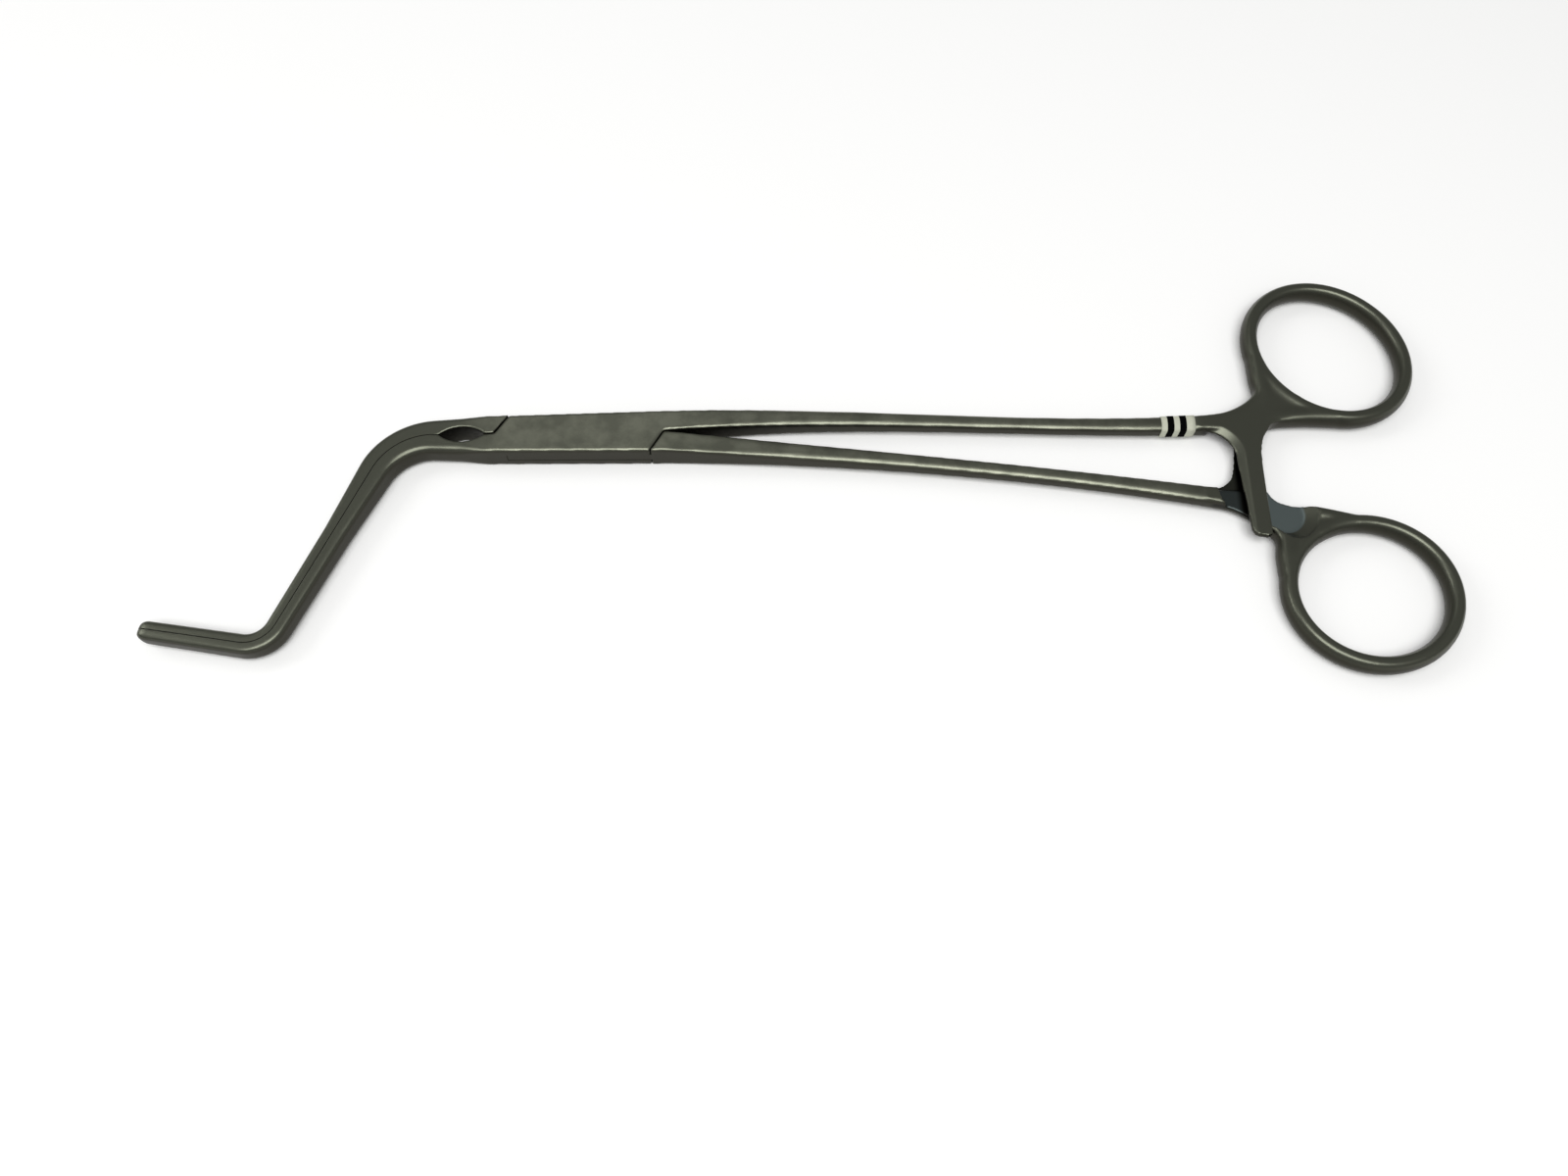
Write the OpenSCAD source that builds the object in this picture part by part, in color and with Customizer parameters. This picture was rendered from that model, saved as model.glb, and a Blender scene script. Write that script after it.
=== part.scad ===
// Vascular clamp with double-angled jaws, a box lock and ring handles, lying flat and closed.
// Millimetres. The origin is on the axis of the lock pin, at the underside of the box.
// X runs along the instrument towards the finger rings, Z points up.

/* [Box lock] */
// Thickness of the box
box_t = 5; // [4:0.1:7]
// Width of the box at its jaw end
box_jaw_end_w = 8; // [6.5:0.1:10]
// Width of the box at its shank end
box_shank_end_w = 9; // [7:0.1:11]
// Distance from the pin to each slanted seam, at mid-width of the box
box_reach = 14.6; // [11:0.1:18]
// Length along the box that each slanted seam takes up
seam_slant = 2.6; // [1:0.1:5]
// Angle of the box to the line that halves the handles
box_turn = 3.8; // [0:0.1:8]
// Rounding of the box's long edges
box_edge_r = 0.35; // [0.2:0.05:0.6]
// Thickness of the tongue that passes through the box
tongue_t = 1.7; // [1.2:0.05:2.4]
// Clearance round the tongue and along the seams
lock_gap = 0.08; // [0.05:0.01:0.2]
// Diameter of the lock pin
pin_d = 4; // [2.5:0.1:5]
// Radial clearance of the pin in the tongue
pin_gap = 0.04; // [0.02:0.01:0.1]

/* [Jaws] */
// Distance from the pin to the first bend's corner
jaw_root_l = 34.8; // [30:0.1:45]
// Distance between the corners of the two bends
jaw_mid_l = 45.6; // [35:0.1:60]
// Distance from the second bend's corner to the tip
jaw_tip_l = 22.9; // [15:0.1:40]
// Turn of the first bend
bend_1 = 68; // [30:1:80]
// Turn of the second bend, back the other way
bend_2 = 78; // [30:1:85]
// Middle radius of the first bend
bend_1_r = 11.4; // [8:0.1:16]
// Middle radius of the second bend
bend_2_r = 5.3; // [4.5:0.1:9]
// Width of the closed jaws at the first bend
jaw_bend_w = 5.4; // [4:0.1:7]
// Width of the closed jaws halfway along
jaw_mid_w = 4.2; // [3:0.1:6]
// Width of the closed jaws at the tip
jaw_tip_w = 3.5; // [2.4:0.1:5]
// Thickness of the jaws at the first bend
jaw_bend_t = 4.4; // [3:0.1:5.5]
// Thickness of the jaws halfway along
jaw_mid_t = 4; // [2.6:0.1:5]
// Thickness of the jaws at the tip
jaw_tip_t = 3.4; // [2:0.1:4.5]
// Gap between the closed jaws
jaw_gap = 0.16; // [0.1:0.01:0.4]
// Rounding of the jaws' outer edges
jaw_edge_r = 0.85; // [0.4:0.05:1]
// Length of the rounded tip
tip_nose = 1.7; // [0.8:0.1:3]
// Radius of the two hollows between the jaw roots
relief_r = 6.5; // [5:0.1:9]
// Distance from the pin to the middle of the hollows
relief_x = 21.9; // [20:0.1:25]
// Depth of each hollow
relief_depth = 1.6; // [0.6:0.1:2.2]

/* [Shanks] */
// Distance from the pin to the start of the handles
shank_l = 117; // [90:1:150]
// Offset of the upper shank from the axis where the handle starts
upper_handle_y = 8.2; // [7:0.1:9]
// Offset of the lower shank from the axis where the handle starts
lower_handle_y = 7.5; // [7:0.1:9]
// Pull on the upper shank's line a third of the way along
upper_pull_near = 8; // [6:0.1:9]
// Pull on the upper shank's line two thirds of the way along
upper_pull_far = 5.2; // [4.5:0.1:8]
// Pull on the lower shank's line a third of the way along
lower_pull_near = 1.7; // [1.5:0.1:4]
// Pull on the lower shank's line two thirds of the way along
lower_pull_far = 3.4; // [3:0.1:6]
// Pull on the shanks' width a third of the way along
shank_near_w = 2.9; // [2.4:0.1:4]
// Pull on the shanks' width two thirds of the way along
shank_far_w = 2.1; // [1.8:0.1:3.5]
// Width of a shank at the handle
shank_end_w = 3.4; // [2.4:0.1:4]
// Pull on the shanks' thickness a third of the way along
shank_near_t = 2.4; // [2.2:0.1:4]
// Pull on the shanks' thickness two thirds of the way along
shank_far_t = 2.7; // [2.2:0.1:4]
// Rounding of the shanks' edges
shank_edge_r = 0.6; // [0.3:0.05:0.8]

/* [Finger rings] */
// Distance from the ratchet arms to the middle of the rings, along the instrument
ring_set = 20.6; // [18:0.1:25]
// Distance from the axis to the middle of the upper ring
upper_ring_y = 26.2; // [25:0.1:28]
// Distance from the axis to the middle of the lower ring
lower_ring_y = 26; // [25:0.1:28]
// Length of the upper ring's middle line
upper_ring_long = 31.6; // [29:0.1:33]
// Width of the upper ring's middle line
upper_ring_short = 28.5; // [27:0.1:30]
// Turn of the upper ring's long axis
upper_ring_turn = 120; // [90:1:170]
// Length of the lower ring's middle line
lower_ring_long = 29.4; // [28:0.1:32]
// Width of the lower ring's middle line
lower_ring_short = 27.6; // [27:0.1:30]
// Turn of the lower ring's long axis
lower_ring_turn = 154; // [90:1:170]
// Width of the ring's section
ring_w = 3.1; // [2.4:0.1:4.5]
// Thickness of the ring's section
ring_t = 4; // [3.6:0.1:5]
// Rounding of the ring's section
ring_edge_r = 1.25; // [0.6:0.05:1.4]

/* [Ratchet] */
// Distance from the start of the handles to the near edge of the ratchet arms
arm_set = 6.1; // [5:0.1:8]
// Width of the ratchet arms
arm_w = 4.4; // [3.6:0.1:6]
// Thickness of the ratchet arms
arm_t = 1.1; // [1:0.05:1.6]
// How far the upper arm reaches past the axis
upper_arm_reach = 16; // [12:0.1:18]
// How far the lower arm reaches past the axis
lower_arm_reach = 8.6; // [6:0.1:10]
// Width of the bevel on the arms' near edge
arm_bevel = 1.5; // [0.5:0.1:2]
// Number of ratchet teeth on each arm
teeth = 5; // [2:1:6]
// Pitch of the ratchet teeth
tooth_pitch = 1.4; // [1:0.1:1.6]
// Depth of the ratchet teeth
tooth_depth = 0.3; // [0.2:0.02:0.6]
// Height between the crests of the two arms' teeth
crest_gap = 0.12; // [0.08:0.02:0.3]

/* [Marker tape] */
// Distance from the tape to the start of the handle
tape_set = 1.05; // [1:0.05:60]
// Width of the tape
tape_w = 6.35; // [3:0.05:12]
// Thickness of the tape
tape_t = 0.12; // [0.08:0.01:0.3]
// Width of each black band on the tape
band_w = 1.25; // [0.5:0.05:2]
// Space from the tape's near edge to the first band, and between the bands
band_space = 1.1; // [0.4:0.05:2]

/* [Hidden] */

mid_z = box_t / 2;
arm_r = shank_l + arm_set;
arm_right = arm_r + arm_w;
ring_x = arm_r + ring_set;
tape_x = shank_l - tape_set - tape_w;
// Height of the web over the arm's top and over the shank's end
arm_step = 0.05;
web_t = 2 * (arm_t + tooth_depth + arm_step) + crest_gap;
sharp_r = 0.05;
corner_steps = 3;
bore_fn = 48;
steel = [0.50, 0.50, 0.47];

// Plane helpers
function way(a) = [cos(a), sin(a)];
function blend(a, b, f) = a + (b - a) * f;
function bezier(p, f) =
    p[0] * pow(1 - f, 3) + 3 * p[1] * f * pow(1 - f, 2)
    + 3 * p[2] * f * f * (1 - f) + p[3] * pow(f, 3);

// Section of a bar: a rectangle from u0 to u1 and z0 to z1 with its own rounding on each side
function quarter(u, z, r, a) =
    [for (i = [0 : corner_steps]) [u, z] + r * way(a + 90 * i / corner_steps)];
function bar_section(u0, u1, z0, z1, r0, r1) = concat(
    quarter(u1 - r1, z0 + r1, r1, -90), quarter(u1 - r1, z1 - r1, r1, 0),
    quarter(u0 + r0, z1 - r0, r0, 90), quarter(u0 + r0, z0 + r0, r0, 180)
);
// A section set up across a heading, at a point of the plan
function placed(p, a, section) = [
    for (q = section) [p[0] + q[0] * cos(a + 90), p[1] + q[0] * sin(a + 90), q[1]]
];

// Solid through a list of sections, with flat ends or closed on itself
module loft(sections, closed = false) {
    m = len(sections[0]);
    n = len(sections);
    last = closed ? n - 1 : n - 2;
    sides = [
        for (i = [0 : last], j = [0 : m - 1])
            let (a = i * m, b = ((i + 1) % n) * m, k = (j + 1) % m)
                each [[a + j, b + k, a + k], [a + j, b + j, b + k]]
    ];
    ends = closed ? [] : [
        [for (j = [0 : m - 1]) j],
        [for (j = [m - 1 : -1 : 0]) (n - 1) * m + j]
    ];
    polyhedron(points = [for (s = sections) each s], faces = concat(sides, ends));
}

// Box stations, across the box axis
box_way = way(box_turn);
function on_box(x) = x * box_way;
function box_w(x) = blend(box_jaw_end_w, box_shank_end_w, (x + box_reach) / (2 * box_reach));
jaw_seam_far = -box_reach + seam_slant / 2;
jaw_seam_near = -box_reach - seam_slant / 2;
shank_seam_far = box_reach + seam_slant / 2;
shank_seam_near = box_reach - seam_slant / 2;

// Line of the closed jaws, from the tip to the box. Headings run towards the box.
root_way = 180 + box_turn;
mid_way = root_way + bend_1;
tip_way = mid_way - bend_2;
corner_1 = jaw_root_l * way(root_way);
corner_2 = corner_1 + jaw_mid_l * way(mid_way);
tip_point = corner_2 + jaw_tip_l * way(tip_way);
tangent_1 = bend_1_r * tan(bend_1 / 2);
tangent_2 = bend_2_r * tan(bend_2 / 2);
bend_1_end = corner_1 + tangent_1 * way(mid_way);
bend_1_start = corner_1 - tangent_1 * way(root_way);
bend_1_centre = bend_1_start + bend_1_r * way(root_way + 90);
bend_2_end = corner_2 + tangent_2 * way(tip_way);
bend_2_start = corner_2 - tangent_2 * way(mid_way);
bend_2_centre = bend_2_start + bend_2_r * way(mid_way - 90);

tip_steps = [0, 0.06, 0.2, 0.45, 0.75, 1];
bend_steps = 8;
straight_steps = 4;
// How far before the seam the last row of the jaws lies
root_lead = 0.5;
// Each row is a point, the heading there, its share of the nose and its place along the jaws.
// Places run from 0 at the tip, over 1 at the second bend and 3 at the first, to 4 at the box.
jaw_line = concat(
    [
        for (f = tip_steps)
            [tip_point - tip_nose * f * way(tip_way), tip_way - 180, f, 0]
    ],
    [
        for (i = [1 : straight_steps])
            let (f = i / straight_steps)
                [blend(tip_point - tip_nose * way(tip_way), bend_2_end, f), tip_way - 180, 1, f]
    ],
    [
        for (i = [1 : bend_steps])
            let (a = tip_way + bend_2 * i / bend_steps)
                [bend_2_centre + bend_2_r * way(a + 90), a - 180, 1, 1]
    ],
    [
        for (i = [1 : straight_steps])
            let (f = i / straight_steps)
                [blend(bend_2_start, bend_1_end, f), mid_way - 180, 1, 1 + 2 * f]
    ],
    [
        for (i = [1 : bend_steps])
            let (a = mid_way - bend_1 * i / bend_steps)
                [bend_1_centre + bend_1_r * way(a - 90), a - 180, 1, 3]
    ],
    [
        for (i = [1 : straight_steps])
            let (f = i / straight_steps)
                [blend(bend_1_start, on_box(jaw_seam_near - root_lead), f), box_turn, 1, 3 + f]
    ]
);

// Width, thickness and rounding of the closed jaws by place
function jaw_w(place) = lookup(place, [
    [0, jaw_tip_w], [1, blend(jaw_tip_w, jaw_mid_w, 0.4)], [2, jaw_mid_w], [3, jaw_bend_w], [4, box_jaw_end_w]
]);
function jaw_t(place) = lookup(place, [
    [0, jaw_tip_t], [1, blend(jaw_tip_t, jaw_mid_t, 0.5)], [2, jaw_mid_t], [3, jaw_bend_t], [4, box_t]
]);
function jaw_r(place) = lookup(place, [[3, jaw_edge_r], [4, box_edge_r]]);
// Fullness of the rounded nose
function nose(f) = 0.35 + 0.65 * sqrt(1 - pow(1 - f, 2));

// One jaw's section at a row of the line; side is 1 for the outer jaw and -1 for the inner one
function jaw_section(row, side) =
    let (
        full = nose(row[2]),
        w = jaw_w(row[3]) / 2 * full,
        t = jaw_t(row[3]) / 2 * full,
        r = jaw_r(row[3]) * full,
        face = jaw_gap / 2
    )
    placed(row[0], row[1], side > 0
        ? bar_section(face, w, mid_z - t, mid_z + t, sharp_r, r)
        : bar_section(-w, -face, mid_z - t, mid_z + t, r, sharp_r));

// Shank stations
shank_steps = 14;
// Share of its length that a shank runs on inside the handle
shank_tail = 0.03;
upper_line = [box_shank_end_w / 4 + shank_seam_far * tan(box_turn), upper_pull_near, upper_pull_far, upper_handle_y];
lower_line = [
    shank_seam_far * tan(box_turn) - box_shank_end_w / 4, -lower_pull_near, -lower_pull_far, -lower_handle_y
];
shank_widths = [box_shank_end_w / 2 - jaw_gap / 2, shank_near_w, shank_far_w, shank_end_w];
shank_depths = [box_t, shank_near_t, shank_far_t, web_t - 4 * arm_step];
function shank_x(f) = blend(shank_seam_far, shank_l, f);
function shank_at(f, line, grow = 0) =
    let (
        w = bezier(shank_widths, f) / 2 + grow,
        t = bezier(shank_depths, f) / 2 + grow,
        r = blend(box_edge_r, shank_edge_r, min(1, 3 * f)) + grow
    )
    placed([shank_x(f), bezier(line, f)], 0, bar_section(-w, w, mid_z - t, mid_z + t, r, r));
function shank_sections(line) = concat(
    [for (i = [1 : shank_steps]) shank_at(i / shank_steps, line)],
    [shank_at(1 + shank_tail, line, -2 * arm_step)]
);

// Plan of the slot in the box, or of the tongue in it when shrunk by the clearance
slot_r = norm([shank_seam_near, box_shank_end_w / 2]);
module slot_plan(shrink) {
    circle(r = slot_r - shrink, $fn = 96);
    for (end = [0, 180]) {
        rotate(box_turn + end)
            translate([0, -2 * box_reach - shrink - jaw_gap / 2])
                square([2 * slot_r, 2 * box_reach]);
    }
}

// Full outline of the box in plan
module box_plan(reach) {
    polygon([
        for (c = [[-reach, 1], [-reach, -1], [reach, -1], [reach, 1]])
            on_box(c[0]) + c[1] * box_w(c[0]) / 2 * way(box_turn + 90)
    ]);
}

// Rings, webs and arms are drawn for the upper side. A ring is its length, width, turn and offset.
upper_ring = [upper_ring_long, upper_ring_short, upper_ring_turn, upper_ring_y];
lower_ring = [lower_ring_long, lower_ring_short, lower_ring_turn, lower_ring_y];
ring_steps = 44;
function turned(p, a) = [p[0] * cos(a) - p[1] * sin(a), p[0] * sin(a) + p[1] * cos(a)];
function on_ring(ring, f) =
    [ring_x, ring[3]] + turned([ring[0] / 2 * cos(f), ring[1] / 2 * sin(f)], ring[2]);
function ring_heading(ring, f) = ring[2] + atan2(ring[1] * cos(f), -ring[0] * sin(f));

module finger_ring(ring) {
    section = bar_section(
        -ring_w / 2, ring_w / 2, mid_z - ring_t / 2, mid_z + ring_t / 2, ring_edge_r, ring_edge_r
    );
    loft([
        for (i = [0 : ring_steps - 1])
            let (f = 360 * i / ring_steps)
                placed(on_ring(ring, f), ring_heading(ring, f), section)
    ], closed = true);
}

// Outline of the web: along the shank's inner side, round the ring's middle line and back
// It starts a little before the handle, in the shank, and the scoop is the hollow between the
// shank and the ring, given from the ring's left side and middle.
web_lead = 0.8;
web_inset = 0.35;
scoop = [[0.5, -5], [0.8, -8.5], [0.8, -11.2], [0.5, -13], [-0.8, -14.1], [-3.2, -15]];
function web_outline(end_y, ring) =
    let (
        low = end_y - shank_end_w / 2,
        high = end_y + shank_end_w / 2,
        bottom = on_ring(ring, 270 - ring[2])[1] - ring_w / 2,
        left = on_ring(ring, 180 - ring[2])[0] - ring_w / 2
    )
    concat(
        [
            [shank_l - web_lead, low + shank_edge_r], [shank_l + web_lead, low + web_inset],
            [arm_right + arm_step, low + web_inset],
            [arm_right + 0.75 * ring_t, blend(low, bottom, 0.85)],
            [ring_x - ring[1] / 4, bottom - 2 * arm_step], [ring_x - ring[1] / 8, bottom + web_inset]
        ],
        [for (i = [0 : 8]) on_ring(ring, 275 - 10 * i - ring[2])],
        [for (p = scoop) [left, ring[3]] + p],
        [
            [blend(shank_l, left, 0.35), high + shank_edge_r], [shank_l + web_lead, high],
            [shank_l - web_lead, high - shank_edge_r]
        ]
    );

module web(end_y, ring) {
    translate([0, 0, mid_z - web_t / 2])
        linear_extrude(web_t)
            polygon(web_outline(end_y, ring));
}

// Plan of the cut that lets the other handle's arm pass, on the side of the handle that faces it
recess_r = 4;
recess_side = 0.9;
recess_before = 0.4;
recess_past = 2.4;
module recess_plan(end_y) {
    near = [arm_r - recess_before, end_y - recess_side];
    far = [arm_right + recess_past, end_y - recess_side + recess_r];
    polygon(concat(
        [[near[0] - recess_r, -arm_w]],
        [for (i = [0 : 4]) near + recess_r * way(180 - 15 * i)],
        [for (i = [0 : 10]) far + recess_r * way(120 - 15 * i)],
        [[far[0], -arm_w]]
    ));
}

// Ratchet arm: a thin plate with a wide bevel on its near edge and teeth under it
arm_taper = 0.8;
arm_fillet = 5.5;
arm_end_r = 1.2;
// Reach of the long fillet between the arm's far edge and the web, along X and along Y
arm_root = [2, 3.4];
arm_top = mid_z + web_t / 2 - arm_step;
arm_under = arm_top - arm_t;
function arm_outline(reach, end_y) =
    let (
        low = end_y - shank_end_w / 2,
        fillet = [arm_r - arm_fillet, low - arm_fillet],
        left_end = [arm_r + arm_taper + arm_end_r, arm_end_r - reach],
        right_end = [arm_right - arm_end_r, arm_end_r - reach],
        root = [arm_right + arm_root[0], low - arm_root[1]]
    )
    concat(
        [[fillet[0] + 1, low + 1.2]],
        [for (i = [1 : 6]) fillet + arm_fillet * way(90 - 15 * i)],
        [for (i = [0 : 3]) left_end + arm_end_r * way(180 + 30 * i)],
        [for (i = [0 : 3]) right_end + arm_end_r * way(270 + 30 * i)],
        [for (i = [0 : 3]) root + [arm_root[0] * cos(180 - 30 * i), arm_root[1] * sin(180 - 30 * i)]],
        [[root[0], end_y + 1], [fillet[0] + 1, end_y + 0.6]]
    );

// What the bevel takes off: a cone round the fillet, then a wedge along the arm
bevel_ledge = 0.15;
module bevel_cut(reach, end_y) {
    low = end_y - shank_end_w / 2;
    corner = [arm_r - arm_fillet, low - arm_fillet];
    foot = arm_under + 0.2;
    rise = arm_top + arm_step - foot;
    intersection() {
        translate([corner[0], corner[1], foot])
            cylinder(
                r1 = arm_fillet + bevel_ledge, r2 = arm_fillet + bevel_ledge + 2 * arm_bevel,
                h = 2 * rise, $fn = bore_fn
            );
        translate([corner[0] + 0.5, corner[1], 0])
            cube([2 * arm_fillet, 2 * arm_fillet, box_t + 1]);
    }
    translate([arm_r + bevel_ledge, corner[1], 0])
        rotate([90, 0, 0])
            linear_extrude(reach + corner[1] + 2)
                polygon([
                    [-2, foot], [0, foot], [2 * arm_bevel, foot + 2 * rise], [-2, foot + 2 * rise]
                ]);
}

// Half a tooth's length and the place of its crest, as shares of the pitch
tooth_half = 0.48;
tooth_crest = 0.4;
tooth_inset = 0.4;
module ratchet_arm(reach, end_y) {
    pitch_a = tooth_pitch / arm_r * 180 / PI;
    translate([0, 0, arm_under])
        linear_extrude(arm_t)
            polygon(arm_outline(reach, end_y));
    for (i = [0 : teeth - 1])
        rotate(pitch_a * (i - teeth / 2 + 0.5))
            translate([arm_r + arm_taper, 0, 0])
                rotate([90, 0, 90])
                    linear_extrude(arm_w - arm_taper - tooth_inset)
                        polygon([
                            [-tooth_pitch * tooth_half, arm_under + arm_step],
                            [-tooth_pitch * tooth_half, arm_under],
                            [tooth_pitch * tooth_crest, arm_under - tooth_depth],
                            [tooth_pitch * tooth_half, arm_under],
                            [tooth_pitch * tooth_half, arm_under + arm_step]
                        ]);
}

module handle(end_y, reach, ring) {
    finger_ring(ring);
    difference() {
        union() {
            web(end_y, ring);
            ratchet_arm(reach, end_y);
        }
        bevel_cut(reach, end_y);
    }
}

module recess(end_y) {
    translate([0, 0, -1])
        linear_extrude(mid_z + 1 - crest_gap)
            recess_plan(end_y);
}

// Turns what is drawn for the upper side over, to the lower side
module turned_over() {
    translate([0, 0, box_t])
        rotate([180, 0, 0])
            children();
}

module female_half() {
    color(steel)
        difference() {
            union() {
                loft(concat(
                    [for (row = jaw_line) jaw_section(row, -1)],
                    box_sections([
                        [jaw_seam_near, -1, side_w(jaw_seam_near)], [jaw_seam_far, 0], [0, 0],
                        [shank_seam_near, 0], [shank_seam_far, 1, side_w(shank_seam_far)]
                    ]),
                    shank_sections(upper_line)
                ));
                handle(upper_handle_y, upper_arm_reach, upper_ring);
            }
            relief(1);
            recess(upper_handle_y);
            translate([0, 0, mid_z - tongue_t / 2 - lock_gap])
                linear_extrude(tongue_t + 2 * lock_gap)
                    slot_plan(0);
            translate([0, 0, -1])
                cylinder(d = pin_d + 0.02, h = box_t + 2, $fn = bore_fn);
        }
}

// The hollow cut into a jaw root; side is 1 for the cut into the inner jaw
module relief(side) {
    at = on_box(-relief_x) + side * (relief_r - relief_depth) * way(box_turn + 90);
    translate([at[0], at[1], -1])
        cylinder(r = relief_r, h = box_t + 2, $fn = bore_fn);
}

// Sections of the box: side is -1 where only the near side is steel, 1 for the far side, 0 for both
function box_sections(rows) = [
    for (row = rows)
        let (
            w = box_w(row[0]) / 2,
            u0 = row[1] > 0 ? w - row[2] : -w,
            u1 = row[1] < 0 ? row[2] - w : w,
            r0 = row[1] > 0 ? sharp_r : box_edge_r,
            r1 = row[1] < 0 ? sharp_r : box_edge_r
        )
        placed(on_box(row[0]), box_turn, bar_section(u0, u1, 0, box_t, r0, r1))
];
// Width of steel on one side of the middle
function side_w(x) = box_w(x) / 2 - jaw_gap / 2;
// Width of the thin edge in which the tongue half's slanted seams run out, and its distance
// along the box, from where the other half's seam starts in the middle and ends at the side
seam_edge_w = box_edge_r + 2 * sharp_r;
function seam_edge_x(middle, side) =
    blend(middle, side, 1 - seam_edge_w / (box_w(side) / 2 + jaw_gap / 2));

module male_half() {
    color(steel)
        difference() {
            union() {
                difference() {
                    union() {
                        loft(concat(
                            [for (row = jaw_line) jaw_section(row, 1)],
                            box_sections([
                                [jaw_seam_near - lock_gap, 1, side_w(jaw_seam_near)],
                                [seam_edge_x(jaw_seam_near, jaw_seam_far) - lock_gap, 1, seam_edge_w]
                            ])
                        ));
                        loft(concat(
                            box_sections([
                                [seam_edge_x(shank_seam_far, shank_seam_near) + lock_gap, -1, seam_edge_w],
                                [shank_seam_far + lock_gap, -1, side_w(shank_seam_far)]
                            ]),
                            shank_sections(lower_line)
                        ));
                    }
                    relief(-1);
                }
                tongue();
                turned_over()
                    handle(lower_handle_y, lower_arm_reach, lower_ring);
            }
            turned_over()
                recess(lower_handle_y);
            translate([0, 0, -1])
                cylinder(d = pin_d + 2 * pin_gap, h = box_t + 2, $fn = bore_fn);
        }
}

module tongue() {
    translate([0, 0, mid_z - tongue_t / 2])
        linear_extrude(tongue_t)
            intersection() {
                box_plan(box_reach + 3);
                slot_plan(lock_gap);
            }
}

module lock_pin() {
    color([0.55, 0.55, 0.52])
        cylinder(d = pin_d, h = box_t, $fn = bore_fn);
}

// A sleeve round the upper shank, from x to x + w, between two distances off the steel
module sleeve(x, w, inner, outer) {
    f0 = (x - shank_seam_far) / (shank_l - shank_seam_far);
    f1 = (x + w - shank_seam_far) / (shank_l - shank_seam_far);
    over = 0.01;
    difference() {
        loft([for (f = [f0, (f0 + f1) / 2, f1]) shank_at(f, upper_line, outer)]);
        loft([for (f = [f0 - over, f1 + over]) shank_at(f, upper_line, inner)]);
    }
}

module marker_tape() {
    color("whitesmoke")
        sleeve(tape_x, tape_w, 0.02, tape_t);
}

module tape_band(count) {
    color([0.05, 0.05, 0.05])
        sleeve(tape_x + band_space + count * (band_w + band_space), band_w, tape_t + 0.01, 2 * tape_t);
}

module tape_band_front() {
    tape_band(0);
}

module tape_band_rear() {
    tape_band(1);
}

female_half();
male_half();
lock_pin();
marker_tape();
tape_band_front();
tape_band_rear();
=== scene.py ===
"""Looks of the vascular clamp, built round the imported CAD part.

Each forging is lofted along its own line in millimetres, cut as a smith would cut it, made one
skin and then moved into the row frame. The tape is dressed round the upper shank.
"""

import logging
import math
from dataclasses import dataclass, field
from enum import Enum
from typing import Callable, Iterable, Optional, Sequence

import bmesh
import bpy
from mathutils import Matrix, Vector


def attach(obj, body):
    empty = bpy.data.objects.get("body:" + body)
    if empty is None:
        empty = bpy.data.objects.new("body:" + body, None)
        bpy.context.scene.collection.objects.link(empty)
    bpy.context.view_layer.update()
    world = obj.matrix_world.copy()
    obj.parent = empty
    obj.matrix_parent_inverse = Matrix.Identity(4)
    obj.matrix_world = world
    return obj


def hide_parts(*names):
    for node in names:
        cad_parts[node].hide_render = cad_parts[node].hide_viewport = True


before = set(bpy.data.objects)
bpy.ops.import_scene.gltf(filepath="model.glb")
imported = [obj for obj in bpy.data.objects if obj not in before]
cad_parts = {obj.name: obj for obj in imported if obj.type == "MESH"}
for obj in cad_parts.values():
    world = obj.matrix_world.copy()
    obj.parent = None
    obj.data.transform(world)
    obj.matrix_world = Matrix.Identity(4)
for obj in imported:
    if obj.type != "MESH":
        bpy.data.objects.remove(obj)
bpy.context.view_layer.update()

MM = 0.001
LOG = logging.getLogger("vascular_clamp")
Point = tuple[float, float]


class Side(Enum):
    """Which half of the clamp a form belongs to, seen from above with the handles to the right."""

    UPPER = 1
    LOWER = -1


class Cut(Enum):
    """How one solid is combined with another."""

    JOIN = "UNION"
    REMOVE = "DIFFERENCE"
    COMMON = "INTERSECT"


# ---------------------------------------------------------------- plane helpers


def way(degrees: float) -> Vector:
    """The unit vector of a heading in the plan."""
    a = math.radians(degrees)
    return Vector((math.cos(a), math.sin(a)))


def mix(a: float, b: float, f: float) -> float:
    """The value a share f of the way from a to b."""
    return a + (b - a) * f


def ease(f: float) -> float:
    """A smooth step from 0 to 1."""
    f = max(0.0, min(1.0, f))
    return f * f * (3 - 2 * f)


def bezier(values: Sequence[float], f: float) -> float:
    """A cubic curve through the first and last of four values, pulled by the two between."""
    g = 1 - f
    a, b, c, d = values
    return a * g**3 + 3 * b * f * g * g + 3 * c * f * f * g + d * f**3


def smooth(points: Sequence[Point], steps: int = 6) -> list[Point]:
    """A smooth line through the given points."""
    out = []
    ends = [points[0], *points, points[-1]]
    for a, b, c, d in zip(ends, ends[1:], ends[2:], ends[3:]):
        for i in range(steps):
            t = i / steps
            out.append(tuple(
                0.5 * (2 * q + (r - p) * t + (2 * p - 5 * q + 4 * r - w) * t * t + (3 * q - p - 3 * r + w) * t**3)
                for p, q, r, w in zip(a, b, c, d)
            ))
    return [*out, tuple(points[-1])]


def lookup(s: float, rows: Sequence[Point]) -> float:
    """The value at s in a table of rising keys, with straight lines between its rows."""
    if s <= rows[0][0]:
        return rows[0][1]
    for (s0, v0), (s1, v1) in zip(rows, rows[1:]):
        if s <= s1:
            return mix(v0, v1, (s - s0) / (s1 - s0))
    return rows[-1][1]


# ---------------------------------------------------------------- sections

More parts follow.
